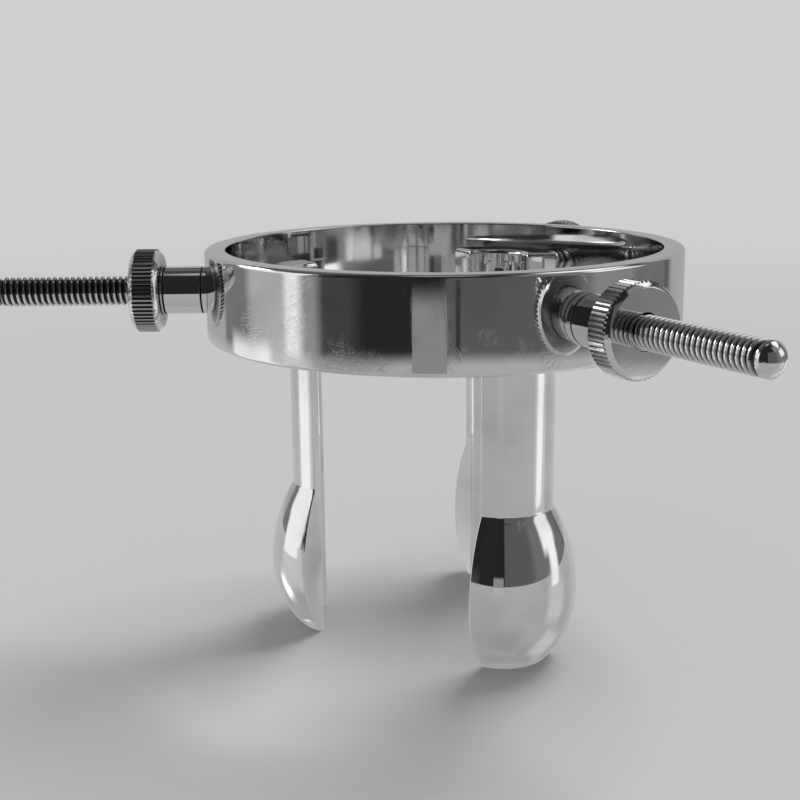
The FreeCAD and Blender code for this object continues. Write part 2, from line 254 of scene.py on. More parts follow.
def rounded(corners, rounds, steps=6):
    """A closed outline whose corners are turned into arcs of the given radii."""
    outline = []
    count = len(corners)
    for index, (corner, radius) in enumerate(zip(corners, rounds)):
        here = Vector(corner)
        before = (Vector(corners[index - 1]) - here).normalized()
        after = (Vector(corners[(index + 1) % count]) - here).normalized()
        if radius <= 0:
            outline.append(tuple(here))
            continue
        half = before.angle(after) / 2
        reach = radius / math.tan(half)
        centre = here + (before + after).normalized() * (radius / math.sin(half))
        start = here + before * reach - centre
        end = here + after * reach - centre
        sweep = start.angle(end)
        side = 1 if start.cross(end) > 0 else -1
        for step in range(steps + 1):
            spoke = start.copy()
            spoke.rotate(Matrix.Rotation(side * sweep * step / steps, 2))
            outline.append(tuple(centre + spoke))
    return outline


def lathe(outline, steps, upright=False):
    """Turns a closed outline of (along, radius) about X, or of (radius, up) about Z."""
    points = []
    for step in range(steps):
        angle = 2 * math.pi * step / steps
        for first, second in outline:
            if upright:
                points.append((first * math.cos(angle), first * math.sin(angle), second))
            else:
                points.append((first, second * math.cos(angle), second * math.sin(angle)))
    count = len(outline)
    faces = []
    for step in range(steps):
        here = step * count
        there = (step + 1) % steps * count
        for index in range(count):
            after = (index + 1) % count
            faces.append((here + index, here + after, there + after, there + index))
    return points, faces


def lathe_open(outline, steps):
    """Turns an outline of (along, radius) about X without the faces that would close it."""
    points, faces = lathe(outline, steps)
    row = len(outline)
    return points, [face for face in faces if face[0] % row + 1 < row]


def tube_outline(start, end, bore, outer, edge):
    """The half section of a tube whose outer edges are rounded."""
    corners = [(start, bore), (start, outer), (end, outer), (end, bore)]
    return rounded(corners, [0.0, edge, edge, 0.0])


def skin(loops, closed_ends=True):
    """Joins loops of equal length into one skin, with a cap at each end."""
    points = [point for loop in loops for point in loop]
    count = len(loops[0])
    faces = []
    for row in range(len(loops) - 1):
        for index in range(count):
            after = (index + 1) % count
            low = row * count
            high = low + count
            faces.append((low + index, low + after, high + after, high + index))
    if closed_ends:
        faces.append(tuple(range(count)))
        faces.append(tuple(range(len(points) - count, len(points))))
    return points, faces


def sector_loop(outer, bore, half_angle, inset, outer_round, bore_round, z):
    """The outline at one height of a sector of a tube with rounded long edges.

    The inset is how far its flat sides are moved inward.
    """
    edge_steps = 7
    outer_steps = 48
    bore_steps = 32
    outer_centre = outer - outer_round
    bore_centre = bore + bore_round
    outer_turn = half_angle - math.asin((inset + outer_round) / outer_centre)
    bore_turn = half_angle - math.asin((inset + bore_round) / bore_centre)
    flat = half_angle + math.pi / 2

    def corner(centre, turn, radius, start, end):
        """The arc that rounds one long edge."""
        middle = Vector((centre * math.cos(turn), centre * math.sin(turn)))
        turns = [start + (end - start) * step / edge_steps for step in range(edge_steps + 1)]
        return [(middle.x + radius * math.cos(a), middle.y + radius * math.sin(a)) for a in turns]

    def arc(radius, start, end, steps):
        """The points between the ends of an arc about the sector's own axis."""
        turns = [start + (end - start) * step / steps for step in range(1, steps)]
        return [(radius * math.cos(a), radius * math.sin(a)) for a in turns]

    half = corner(outer_centre, outer_turn, outer_round, outer_turn, flat)
    half += corner(bore_centre, bore_turn, bore_round, flat, bore_turn + math.pi)
    mirrored = [(x, -y) for x, y in reversed(half)]
    loop = arc(outer, -outer_turn, outer_turn, outer_steps) + half
    loop += arc(bore, bore_turn, -bore_turn, bore_steps) + mirrored
    return [(x, y, z) for x, y in loop]


# Materials


def link(tree, source, target):
    """Joins an output to an input."""
    tree.links.new(source, target)


def socket(group, name, way):
    """Gives a node group one number as an input or an output."""
    group.interface.new_socket(name=name, in_out=way, socket_type="NodeSocketFloat")


def math_node(tree, operation, *values, clamp=False):
    """One sum in a node tree. Each value is a number or the output that it comes from."""
    node = tree.nodes.new("ShaderNodeMath")
    node.operation = operation
    node.use_clamp = clamp
    for entry, value in zip(node.inputs, values):
        if isinstance(value, (int, float)):
            entry.default_value = value
        else:
            link(tree, value, entry)
    return node.outputs[0]


def soft_step(tree, value, start, end):
    """Rises smoothly from 0 at start to 1 at end."""
    node = tree.nodes.new("ShaderNodeMapRange")
    node.interpolation_type = "SMOOTHSTEP"
    node.inputs["From Min"].default_value = start
    node.inputs["From Max"].default_value = end
    link(tree, value, node.inputs["Value"])
    return node.outputs[0]


def mix_shader(tree, share, first, second):
    """Goes from the first shader to the second as the share rises from 0 to 1."""
    node = tree.nodes.new("ShaderNodeMixShader")
    link(tree, share, node.inputs["Fac"])
    link(tree, first, node.inputs[1])
    link(tree, second, node.inputs[2])
    return node.outputs[0]


# Runs of hair scratches: the turn of their direction from +X, how closely their patches lie, how strong
# they are, and for the rubbed place at the left of the ring's front, where they lie
SCRATCH_RUNS = [
    ((0.0, 1.50, 0.10), 70.0, 0.35, None),
    ((0.0, 1.10, 0.05), 95.0, 0.35, None),
    ((0.0, 2.15, -0.05), 120.0, 0.35, None),
    ((0.0, 0.04, 2.44), 60.0, 1.0, (-0.0345, -0.0365, 0.001)),
    ((0.0, 0.55, 2.36), 80.0, 1.0, (-0.0260, -0.0430, 0.004)),
    ((0.0, -0.45, 2.44), 80.0, 0.8, (-0.0260, -0.0430, -0.004)),
]
RUBBED_REACH = 0.011
HAIR_STRETCH = (6.0, 0.03, 0.03)
HAIR_WIDTH = 0.035

# Hairs start where the patches' noise is this high, lower on the rubbed place, and are full at the last
PATCH_START = 0.52
RUBBED_START = 0.36
PATCH_FULL = 0.66

# How deep the waves and scratches are in metres, how pale the stains stay, and how much duller the places
# with painted shade are
RELIEF_DEPTH = 0.00001
STAIN_SHADE = 0.88
PAINTED_SHADE_DULLING = 0.3


def polish_group():
    """Worn polish: cloudy haze, a slight wave in the surface, and hair scratches that lie in patches."""
    name = "Worn polish"
    if name in bpy.data.node_groups:
        return bpy.data.node_groups[name]
    group = bpy.data.node_groups.new(name, "ShaderNodeTree")
    for setting in ("Polish", "Haze", "Scratches", "Wave"):
        socket(group, setting, "INPUT")
    for result in ("Roughness", "Height", "Stain"):
        socket(group, result, "OUTPUT")
    entry = group.nodes.new("NodeGroupInput").outputs
    leave = group.nodes.new("NodeGroupOutput")
    place = group.nodes.new("ShaderNodeTexCoord").outputs["Object"]

    def noise(vector, scale, detail):
        """Even noise, which the vector can stretch."""
        node = group.nodes.new("ShaderNodeTexNoise")
        node.inputs["Scale"].default_value = scale
        node.inputs["Detail"].default_value = detail
        link(group, vector, node.inputs["Vector"])
        return node.outputs["Fac"]

    clouds = soft_step(group, noise(place, scale=70.0, detail=5.0), start=0.45, end=0.70)
    wave = noise(place, scale=45.0, detail=0.0)
    hairs = 0.0
    for turn, patch_scale, strength, centre in SCRATCH_RUNS:
        mapping = group.nodes.new("ShaderNodeMapping")
        mapping.vector_type = "TEXTURE"
        mapping.inputs["Rotation"].default_value = turn
        mapping.inputs["Scale"].default_value = HAIR_STRETCH
        link(group, place, mapping.inputs["Vector"])
        grain = noise(mapping.outputs["Vector"], scale=60.0, detail=1.0)
        off_line = math_node(group, "ABSOLUTE", math_node(group, "SUBTRACT", grain, 0.5))
        line = math_node(group, "SUBTRACT", 1.0, soft_step(group, off_line, 0.0, HAIR_WIDTH))
        patches = noise(place, scale=patch_scale, detail=3.0)
        patch = soft_step(group, patches, PATCH_START if centre is None else RUBBED_START, PATCH_FULL)
        if centre is not None:
            away = group.nodes.new("ShaderNodeVectorMath")
            away.operation = "DISTANCE"
            away.inputs[1].default_value = centre
            link(group, place, away.inputs[0])
            far = soft_step(group, away.outputs["Value"], RUBBED_REACH / 2, RUBBED_REACH)
            near = math_node(group, "SUBTRACT", 1.0, far)
            patch = math_node(group, "MULTIPLY", patch, near)
        patch = math_node(group, "MULTIPLY", patch, strength)
        hairs = math_node(group, "MAXIMUM", hairs, math_node(group, "MULTIPLY", line, patch))
    hairs = math_node(group, "MULTIPLY", hairs, entry["Scratches"])
    worn = math_node(group, "ADD", clouds, hairs)
    roughness = math_node(group, "MULTIPLY_ADD", worn, entry["Haze"], entry["Polish"])
    link(group, roughness, leave.inputs["Roughness"])
    waved = math_node(group, "MULTIPLY", wave, entry["Wave"])
    link(group, math_node(group, "SUBTRACT", waved, hairs), leave.inputs["Height"])
    link(group, clouds, leave.inputs["Stain"])
    return group


def steel(name, colour, polish, haze, scratches, wave, painted_shade=None):
    """One steel finish. With a dark painted shade colour, the roots and joints that the mesh marks get
    painted shade and are duller.
    """
    if name in bpy.data.materials:
        return bpy.data.materials[name]
    material = bpy.data.materials.new(name)
    material.use_nodes = True
    tree = material.node_tree
    shader = tree.nodes["Principled BSDF"]
    shader.inputs["Metallic"].default_value = 1.0
    worn = tree.nodes.new("ShaderNodeGroup")
    worn.node_tree = polish_group()
    worn.inputs["Polish"].default_value = polish
    worn.inputs["Haze"].default_value = haze
    worn.inputs["Scratches"].default_value = scratches
    worn.inputs["Wave"].default_value = wave
    relief = tree.nodes.new("ShaderNodeBump")
    relief.inputs["Distance"].default_value = RELIEF_DEPTH
    link(tree, worn.outputs["Height"], relief.inputs["Height"])
    link(tree, relief.outputs["Normal"], shader.inputs["Normal"])
    tint = tree.nodes.new("ShaderNodeMix")
    tint.data_type = "RGBA"
    tint.inputs["A"].default_value = (*colour, 1.0)
    # Painted shade: where the mesh marks it, the colour turns to the dark painted shade colour and the steel
    # gets duller
    if painted_shade:
        mark = tree.nodes.new("ShaderNodeAttribute")
        mark.attribute_name = "painted_shade"
        painted_shade_share = mark.outputs["Fac"]
        link(tree, painted_shade_share, tint.inputs["Factor"])
        tint.inputs["B"].default_value = (*painted_shade, 1.0)
        dulled = math_node(tree, "MULTIPLY_ADD", painted_shade_share, PAINTED_SHADE_DULLING, worn.outputs["Roughness"])
        link(tree, dulled, shader.inputs["Roughness"])
    else:
        link(tree, worn.outputs["Stain"], tint.inputs["Factor"])
        tint.inputs["B"].default_value = (*(part * STAIN_SHADE for part in colour), 1.0)
        link(tree, worn.outputs["Roughness"], shader.inputs["Roughness"])
    link(tree, tint.outputs["Result"], shader.inputs["Base Color"])
    return material


def mirror_steel():
    """The ring's outside, the heads and the blades."""
    look = bpy.context.scene.speculum.steel
    return steel("Mirror polished steel", look.mirror, look.polish, look.haze, scratches=0.40, wave=4.0)


def satin_steel():
    """The ring's bore, which is bright but not polished out."""
    look = bpy.context.scene.speculum.steel
    return steel("Satin bored steel", look.mirror, polish=0.05, haze=0.06, scratches=0.2, wave=4.0)


def painted_joint_steel():
    """Mirror polish with lines of painted shade where one guide piece meets the next."""
    look = bpy.context.scene.speculum.steel
    return steel(
        "Polished steel with painted joint shade",
        look.mirror,
        look.polish,
        look.haze,
        scratches=0.1,
        wave=4.0,
        painted_shade=look.painted_shade,
    )


def turned_steel():
    """The nuts, rods and pins, with painted shade in their roots."""
    look = bpy.context.scene.speculum.steel
    return steel(
        "Turned steel", look.turned, polish=0.05, haze=0.05, scratches=0.3, wave=0.0, painted_shade=look.painted_shade
    )


# Operators


class SPECULUM_OT_ring(bpy.types.Operator):
    """Turn the polished ring with its eased edges"""

    bl_idname = "speculum.ring"
    bl_label = "Ring"

    def execute(self, context):
        sizes = context.scene.speculum.ring
        outer = sizes.diameter / 2
        inner = outer - sizes.wall
        half = sizes.height / 2
        corners = [(inner, -half), (outer, -half), (outer, half), (inner, half)]
        rounds = [sizes.inner_round, sizes.outer_round, sizes.outer_round, sizes.inner_round]
        points, faces = lathe(rounded(corners, rounds, steps=8), sizes.around, upright=True)
        ring = add_mesh("Ring_band", points, faces, Matrix.Identity(4))
        dress(ring, mirror_steel(), "ring", "polished_steel", "ring")
        ring.data.materials.append(satin_steel())
        for face in ring.data.polygons:
            if face.center.xy.length < inner + sizes.inner_round / 2:
                face.material_index = 1
        return {"FINISHED"}


def painted_joint_shade(start, end, edge):
    """Marks painted shade on the end faces of a guide piece and the start of its rounded edges, where the
    joint shows dark.
    """

    def shade(point):
        inward = min(point.x - start, end - point.x)
        return clamp(2 * (1.0 - inward / edge))

    return shade


class SPECULUM_OT_guides(bpy.types.Operator):
    """Turn the guide, sleeve and washer of each station"""

    bl_idname = "speculum.guides"
    bl_label = "Guides, sleeves and washers"

    def execute(self, context):
        ring = context.scene.speculum.ring
        drive = context.scene.speculum.drive
        wall_out = ring.diameter / 2
        bush_end = wall_out + ring.bush_proud
        sleeve_start = bush_end + drive.gap
        sleeve_end = sleeve_start + drive.sleeve_length
        washer_start = sleeve_end + drive.gap
        washer_end = washer_start + drive.washer_thickness
        # Where each piece starts and ends along its rod, its outside radius and the radius of its edges
        guides = {
            "bush": (wall_out - ring.wall, bush_end, ring.bush_radius, 0.0002),
            "sleeve": (sleeve_start, sleeve_end, drive.sleeve_radius, 0.0003),
            "washer": (washer_start, washer_end, drive.washer_radius, 0.00014),
        }
        around = 96
        for kind, (start, end, radius, edge) in guides.items():
            points, faces = lathe(tube_outline(start, end, drive.rod_bore, radius, edge), around)
            for station in STATIONS:
                name = f"{kind.capitalize()}_turned_{station}"
                # Painted shade at both ends of each piece, for the dark line at each joint
                shade = painted_joint_shade(start, end, edge)
                piece = add_mesh(name, points, faces, station_place(station), painted_shade_of=shade)
                dress(piece, painted_joint_steel(), "ring", "polished_steel", f"{kind}_{station}")
        return {"FINISHED"}


# How much painted shade each nut gets in the joint round its bore, on its back face, and on the knurl's
# crests and grooves
NUT_PAINTED_SHADES = {"bore": 0.95, "back": 0.3, "crest": 0.4, "groove": 0.85}


class SPECULUM_OT_nuts(bpy.types.Operator):
    """Make the knurled nut of each station"""

    bl_idname = "speculum.nuts"
    bl_label = "Knurled nuts"

    def execute(self, context):
        ring = context.scene.speculum.ring
        drive = context.scene.speculum.drive
        seat = (
            ring.diameter / 2 + ring.bush_proud + drive.sleeve_length + drive.washer_thickness + 3 * drive.gap
        )
        rim = drive.nut_radius
        root = rim - drive.knurl_depth
        bore = drive.nut_bore
        chamfer = drive.nut_chamfer
        face = rim - chamfer
        thick = drive.nut_thickness
        groove_start = chamfer - drive.knurl_depth
        lip = 0.0003
        # The bevel meets the flat face in a narrow facet, this deep, from inside that edge to outside it
        ease_depth = 0.00007
        ease_inside = 0.0001
        ease_outside = 0.00005
        tooth = 2 * math.pi / drive.knurl_teeth
        crest = (1 - drive.knurl_share) / 2 * tooth
        ridge = [(-crest, True), (-crest / 2, True), (crest / 2, True), (crest, True), (tooth / 2, False)]
        # From the bore round to the rim: how far along, and the radius on a crest and in a groove
        side = [
            (lip, bore, bore),
            (0.0, bore + lip, bore + lip),
            (0.0, face - ease_inside, face - ease_inside),
            (ease_depth, face + ease_outside, face + ease_outside),
            (groove_start, root, root),
            (chamfer, rim, root),
        ]
        rows = side + [(thick - along, high, low) for along, high, low in reversed(side)]
        loops = []
        for along, high, low in rows:
            loop = []
            for number in range(drive.knurl_teeth):
                for turn, raised in ridge:
                    angle = number * tooth + turn
                    radius = high if raised else low
                    loop.append((along, radius * math.cos(angle), radius * math.sin(angle)))
            loops.append(loop)
        points, faces = skin(loops + loops[:1], closed_ends=False)

        # Points this near a face count as on it
        touch = 1e-5

        # Painted shade: the knurled rim, the back face and the joint round the bore are painted darker
        def painted_rim_shade(point):
            """Painted shade where the nut meets its washer and along its rim, and none elsewhere."""
            radius = math.hypot(point.y, point.z)
            if point.x < touch:
                return NUT_PAINTED_SHADES["bore"] if radius < bore + 2 * lip else NUT_PAINTED_SHADES["back"]
            if not chamfer - touch <= point.x <= thick - chamfer + touch:
                return 0.0
            return NUT_PAINTED_SHADES["crest"] if radius > rim - drive.knurl_depth / 2 else NUT_PAINTED_SHADES["groove"]

        for station in STATIONS:
            place = station_place(station, seat)
            nut = add_mesh(
                f"Nut_knurled_{station}", points, faces, place, sharp=math.radians(20), painted_shade_of=painted_rim_shade
            )
            dress(nut, turned_steel(), f"nut_{station}", "turned_steel", f"nut_{station}")
        return {"FINISHED"}


# Steel left between the bore of a blade's head and the inner end of its rod
HEAD_WALL = 0.0016

# One turn of the thread: how far along the pitch, and how far up from root to crest. The fall mirrors it.
THREAD_RISE = [(0.0, 0.0), (0.11, 0.04), (0.20, 0.28), (0.29, 0.80), (0.33, 0.96), (0.38, 1.0)]


class SPECULUM_OT_rods(bpy.types.Operator):
    """Cut the thread of each rod"""

    bl_idname = "speculum.rods"
    bl_label = "Threaded rods"

    def execute(self, context):
        drive = context.scene.speculum.drive
        blade = context.scene.speculum.blade
        crest = drive.rod_radius
        root = crest - drive.thread_depth
        pitch = drive.thread_pitch
        start = blade.head_radius - blade.bore - HEAD_WALL
        thread_end = drive.rod_length - drive.plain_tip
        run_out = pitch * 0.7
        steps = 36
        turns = math.ceil((thread_end - start) / pitch) + 2
        ridge = THREAD_RISE + [(1.0 - share, raised) for share, raised in reversed(THREAD_RISE[1:])]
        points = []
        for step in range(turns * steps + 1):
            angle = 2 * math.pi * step / steps
            for share, raised in ridge:
                along = start + (step / steps - 1 + share) * pitch
                fade_in = clamp((thread_end - along) / run_out)
                radius = root + (crest - root) * raised * fade_in
                along = min(max(along, start), thread_end)
                points.append((along, radius * math.cos(angle), radius * math.sin(angle)))
        count = len(ridge)
        faces = []
        for step in range(turns * steps):
            for index in range(count - 1):
                low = step * count + index
                faces.append((low, low + 1, low + count + 1, low + count))
            if step + steps < turns * steps:
                low = step * count + count - 1
                next_turn = (step + steps) * count
                faces.append((low, next_turn, next_turn + count, low + count))

        # Painted shade: the thread's roots are painted darker
        def groove(point):
            """Painted shade in the thread's roots, none from just under its crests."""
            depth = (crest - math.hypot(point.y, point.z)) / drive.thread_depth
            return clamp(depth * 1.6 - 0.1) if point.x < thread_end else 0.0

        around = 64
        overlap = 0.0001
        tuck = 0.00005
        bevel = 0.0006
        dome_steps = 12
        plain = [(0.0, 0.0), (0.0, crest), (start + overlap, crest)]
        shoulder = drive.rod_length - drive.rod_dome
        tip = [(thread_end - tuck, root), (thread_end + bevel, crest), (shoulder, crest)]
        sphere = (crest**2 + drive.rod_dome**2) / (2 * drive.rod_dome)
        centre = drive.rod_length - sphere
        for step in range(1, dome_steps + 1):
            along = shoulder + drive.rod_dome * math.sin(math.pi / 2 * step / dome_steps)
            tip.append((along, math.sqrt(max(0.0, sphere**2 - (along - centre) ** 2))))
        for outline in (plain, tip):
            extra, extra_faces = lathe_open(outline, around)
            shift = len(points)
            points += extra
            faces += [tuple(corner + shift for corner in face) for face in extra_faces]
        hair_gap = 0.00001
        seat = blade.offset + blade.bore + HEAD_WALL + hair_gap
        for station in STATIONS:
            place = station_place(station, seat)
            rod = add_mesh(
                f"Rod_threaded_{station}", points, faces, place, sharp=math.radians(35), painted_shade_of=groove
            )
            dress(rod, turned_steel(), f"blade_{station}", "turned_steel", f"rod_{station}")
        return {"FINISHED"}


class SPECULUM_OT_heads(bpy.types.Operator):
    """Shape the head of each blade and its pin"""

    bl_idname = "speculum.heads"
    bl_label = "Heads and pins"

    def execute(self, context):
        blade = context.scene.speculum.blade
        half = blade.head_height / 2
        edge = blade.head_round
        long_edge = edge * 0.9
        steps = 7
        rows = []
        for step in range(steps + 1):
            turn = math.pi / 2 * step / steps
            rows.append((-half + edge * (1 - math.sin(turn)), edge * (1 - math.cos(turn))))
            rows.append((half - edge * (1 - math.cos(turn)), edge * (1 - math.sin(turn))))
        loops = [
            sector_loop(
                blade.head_radius - inset, blade.bore + inset, blade.half_angle, inset, edge, long_edge, z
            )
            for z, inset in sorted(rows)
        ]
        points, faces = skin(loops)

        # The pin's flat end has a fine groove turned just inside its edge
        groove_depth = 0.00012
        groove_inside = 0.00055
        groove_root = 0.00066
        pin_length = 0.002
        pin_proud = 0.00003
        pin_outline = [
            (0.0, 0.0),
            (0.0, groove_inside),
            (groove_depth, groove_root),
            (0.0, blade.pin_radius),
            (pin_length, blade.pin_radius),
        ]
        pin_points, pin_faces = lathe_open(pin_outline, 40)
        for station in STATIONS:
            place = station_place(station, blade.offset)
            head = add_mesh(f"Head_block_{station}", points, faces, place, sharp=math.radians(60))
            dress(head, mirror_steel(), f"blade_{station}", "polished_steel", f"head_{station}")
            place = station_place(station, blade.offset + blade.bore - pin_proud)
            pin = add_mesh(f"Pin_plug_{station}", pin_points, pin_faces, place, sharp=math.radians(25))
            dress(pin, turned_steel(), f"blade_{station}", "polished_steel", f"pin_{station}")
        return {"FINISHED"}


class SPECULUM_OT_blades(bpy.types.Operator):
    """Shape the three blades"""

    bl_idname = "speculum.blades"
    bl_label = "Blades"

    def execute(self, context):
        blade = context.scene.speculum.blade
        top = -blade.head_height / 2
        crease = -blade.crease_drop
        widest = -blade.widest_drop
        tip = -blade.tip_drop
        tip_radius = blade.bore + blade.tip_land

        def bulge(z):
            """Outside radius of the bulb at a height, on arcs that are upright at its widest point."""
            end_radius, end = (blade.stem, crease) if z > widest else (tip_radius, tip)
            inward = blade.widest - end_radius
            radius = (inward**2 + (end - widest) ** 2) / (2 * inward)
            return blade.widest - radius + math.sqrt(max(0.0, radius**2 - (z - widest) ** 2))

        # Rows of height, outside radius and inset, closer together at the crease
        close = 0.0001
        upper_steps = 21
        lower_steps = 24
        round_steps = 4
        bottom_round = 0.00018
        rows = [(z, blade.stem, 0.0) for z in (top, top - 0.001, crease + 0.0006, crease + close)]
        rows.append((crease - close, bulge(crease - close), 0.0))
        for step in range(1, upper_steps + 1):
            z = crease + (widest - crease) * step / upper_steps
            rows.append((z, bulge(z), 0.0))
        for step in range(1, lower_steps + 1):
            share = math.sin(math.pi / 2 * step / lower_steps)
            z = widest + (tip + bottom_round - widest) * share
            rows.append((z, bulge(z), 0.0))
        for step in range(1, round_steps + 1):
            turn = math.pi / 2 * step / round_steps
            z = tip + bottom_round * (1 - math.sin(turn))
            rows.append((z, bulge(z), bottom_round * (1 - math.cos(turn))))
        loops = []
        for z, outer, inset in rows:
            # Where the wall is thin, the two rounded edges share it
            thickness = outer - blade.bore - 2 * inset
            outer_edge = min(blade.edge_round, 0.45 * thickness)
            inner_edge = min(blade.inner_round, 0.40 * thickness)
            loops.append(
                sector_loop(
                    outer - inset, blade.bore + inset, blade.half_angle, inset, outer_edge, inner_edge, z
                )
            )
        points, faces = skin(loops)
        for station in STATIONS:
            place = station_place(station, blade.offset)
            piece = add_mesh(f"Blade_spoon_{station}", points, faces, place, sharp=math.radians(50))
            dress(piece, mirror_steel(), f"blade_{station}", "polished_steel", f"blade_{station}")
        return {"FINISHED"}


# Stage

# How the steel sees the floor: how rough its sheen is, and how much of its light is its own glow
FLOOR_SHEEN_ROUGHNESS = 0.16
FLOOR_GLOW = 0.75

# Where the floor fades into the backdrop for the camera, in metres from the ring's axis
FLOOR_FADE = (0.35, 0.9)


def floor_material(colour, reach, sheen, seen):
    """Pale matt floor, which the camera sees until it fades.

    The steel sees it in a colour of its own, with a sheen, and only out to its reach.
    """
    material = bpy.data.materials.new("Pale floor")
    material.use_nodes = True
    tree = material.node_tree
    tree.nodes.clear()
    nodes = tree.nodes
    out = nodes.new("ShaderNodeOutputMaterial")
    paint = nodes.new("ShaderNodeBsdfDiffuse")
    paint.inputs["Color"].default_value = (*colour, 1.0)
    gloss = nodes.new("ShaderNodeBsdfGlossy")
    gloss.inputs["Color"].default_value = (1.0, 1.0, 1.0, 1.0)
    gloss.inputs["Roughness"].default_value = FLOOR_SHEEN_ROUGHNESS
    clear = nodes.new("ShaderNodeBsdfTransparent")
    glow = nodes.new("ShaderNodeEmission")
    glow.inputs["Color"].default_value = (*seen, 1.0)
    path = nodes.new("ShaderNodeLightPath")
    place = nodes.new("ShaderNodeNewGeometry")
    distance = nodes.new("ShaderNodeVectorMath")
    distance.operation = "LENGTH"
    link(tree, place.outputs["Position"], distance.inputs[0])
    far_out = distance.outputs["Value"]
    steel_edge = soft_step(tree, far_out, reach * 0.95, reach * 1.05)
    view_edge = soft_step(tree, far_out, *FLOOR_FADE)
    in_steel = path.outputs["Is Glossy Ray"]
    hidden_from_steel = math_node(tree, "MULTIPLY", steel_edge, in_steel)
    hidden_from_view = math_node(tree, "MULTIPLY", view_edge, path.outputs["Is Camera Ray"])
    hidden = math_node(tree, "ADD", hidden_from_steel, hidden_from_view, clamp=True)
    glow_share = math_node(tree, "MULTIPLY", in_steel, FLOOR_GLOW)
    paler = mix_shader(tree, glow_share, paint.outputs[0], glow.outputs[0])
    sheen_share = math_node(tree, "MULTIPLY", in_steel, sheen)
    top = mix_shader(tree, sheen_share, paler, gloss.outputs[0])
    link(tree, mix_shader(tree, hidden, top, clear.outputs[0]), out.inputs["Surface"])
    return material


def panel_group():
    """One soft-edged studio panel, laid over the light that is behind it."""
    group = bpy.data.node_groups.new("Studio panel", "ShaderNodeTree")
    settings = ["Middle", "Half width", "Rise", "Half height", "Crispness", "Light"]
    for name in ["Compass", "Height", "Behind"] + settings:
        socket(group, name, "INPUT")
    socket(group, "Light", "OUTPUT")
    entry = group.nodes.new("NodeGroupInput").outputs
    leave = group.nodes.new("NodeGroupOutput")
    turned = math_node(group, "SUBTRACT", entry["Compass"], entry["Middle"])
    aside = math_node(group, "ABSOLUTE", math_node(group, "WRAP", turned, 180.0, -180.0))
    above = math_node(group, "ABSOLUTE", math_node(group, "SUBTRACT", entry["Height"], entry["Rise"]))
    covers = []
    for reach, off in ((entry["Half width"], aside), (entry["Half height"], above)):
        inside = math_node(group, "SUBTRACT", reach, off)
        covers.append(math_node(group, "MULTIPLY_ADD", inside, entry["Crispness"], 0.5, clamp=True))
    cover = math_node(group, "MULTIPLY", *covers)
    lift = math_node(group, "SUBTRACT", entry["Light"], entry["Behind"])
    link(group, math_node(group, "MULTIPLY_ADD", lift, cover, entry["Behind"]), leave.inputs["Light"])
    return group


# The light of the room where there is no panel
STUDIO_ROOM = 0.06

# What the steel reflects, in degrees of compass angle from +X through +Y and of height above the horizon:
# (from, to, low, high, light, softness of the edge). Each panel covers the ones before it.
STUDIO_PANELS = [
    (38, 144, -90, 34, 0.42, 6),
    (60, 160, 44, 62, 0.15, 8),
    (144, 168, -90, 26, 0.20, 5),
    (146, 166, 24, 37, 8.0, 3),
    (165, 192, -90, 36, 0.48, 6),
    (190, 202, -90, 36, 1.0, 3),
    (204, 337, -90, 76, 0.02, 6),
    (203, 240, -90, 4, 0.06, 8),
    (228, 256, -90, 76, 0.022, 8),
    (199, 209, -90, 0, 0.30, 5),
    (269, 352, -90, 40, 0.115, 2),
    (273.5, 275.5, -90, -2, 0.04, 0.8),
    (318, 352, -90, 34, 0.18, 10),
    (351, 394, -90, 30, 0.19, 6),
    (340, 366, -90, 0, 0.27, 5),
    (310, 362, 36, 62, 0.25, 8),
    (355, 404, 40, 66, 1.2, 5),
    (158, 203, 6, 30, 1.0, 5),
    (341, 374, 9, 34, 1.05, 6),
    (0, 360, 80, 90, 0.5, 4),
]


def studio_world(world, backdrop_colour, sky):
    """Even light, a pale backdrop for the camera, and dark and light panels for the steel to reflect."""
    world.use_nodes = True
    tree = world.node_tree
    tree.nodes.clear()
    nodes = tree.nodes
    out = nodes.new("ShaderNodeOutputWorld")
    coordinate = nodes.new("ShaderNodeTexCoord")
    split = nodes.new("ShaderNodeSeparateXYZ")
    link(tree, coordinate.outputs["Generated"], split.inputs[0])
    compass = math_node(tree, "DEGREES", math_node(tree, "ARCTAN2", split.outputs["Y"], split.outputs["X"]))
    height = math_node(tree, "DEGREES", math_node(tree, "ARCSINE", split.outputs["Z"]))
    group = panel_group()
    seen = None
    for start, end, low, high, light, softness in STUDIO_PANELS:
        panel = nodes.new("ShaderNodeGroup")
        panel.node_tree = group
        values = panel.inputs
        link(tree, compass, values["Compass"])
        link(tree, height, values["Height"])
        if seen is None:
            values["Behind"].default_value = STUDIO_ROOM
        else:
            link(tree, seen, values["Behind"])
        values["Middle"].default_value = (start + end) / 2
        values["Half width"].default_value = (end - start) / 2
        values["Rise"].default_value = (low + high) / 2
        values["Half height"].default_value = (high - low) / 2
        values["Crispness"].default_value = 1 / softness
        values["Light"].default_value = light
        seen = panel.outputs["Light"]
    studio = nodes.new("ShaderNodeBackground")
    link(tree, seen, studio.inputs["Color"])
    backdrop = nodes.new("ShaderNodeBackground")
    backdrop.inputs["Color"].default_value = (*backdrop_colour, 1.0)
    soft = nodes.new("ShaderNodeBackground")
    soft.inputs["Strength"].default_value = sky
    soft.inputs["Color"].default_value = (1.0, 1.0, 1.0, 1.0)
    path = nodes.new("ShaderNodeLightPath")
    lit = mix_shader(tree, path.outputs["Is Glossy Ray"], soft.outputs[0], studio.outputs[0])
    final = mix_shader(tree, path.outputs["Is Camera Ray"], lit, backdrop.outputs[0])
    link(tree, final, out.inputs["Surface"])


